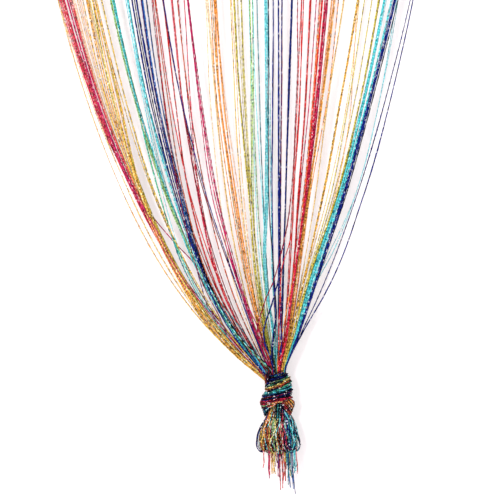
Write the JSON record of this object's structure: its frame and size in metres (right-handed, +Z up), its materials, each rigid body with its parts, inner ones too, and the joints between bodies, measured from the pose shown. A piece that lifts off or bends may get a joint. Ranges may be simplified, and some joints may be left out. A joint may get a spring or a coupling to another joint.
{
  "type": "knotted string curtain",
  "caption": "String curtain of fine glittering multicolour strings on a flat heading tape, gathered low down into a knot with a looped tail and loose ends.",
  "frame": {"origin": "centre of the heading's top edge, where the curtain is held up", "axes": "+Z up along the hanging strings, +X to the right along the heading as seen from the front, -Y towards the front"},
  "size_m": [0.9, 0.0402, 2.0384],
  "materials": {
    "heading_tape": "plain woven tape, matt",
    "string_yarn": "flat chenille yarn in many colours with glittering metallic threads",
    "knot_yarn": "flat chenille yarn in many colours with glittering metallic threads"
  },
  "bodies": {
    "root": {"heading": "heading_tape", "strings": "string_yarn", "knot": "knot_yarn"}
  },
  "joints": []
}
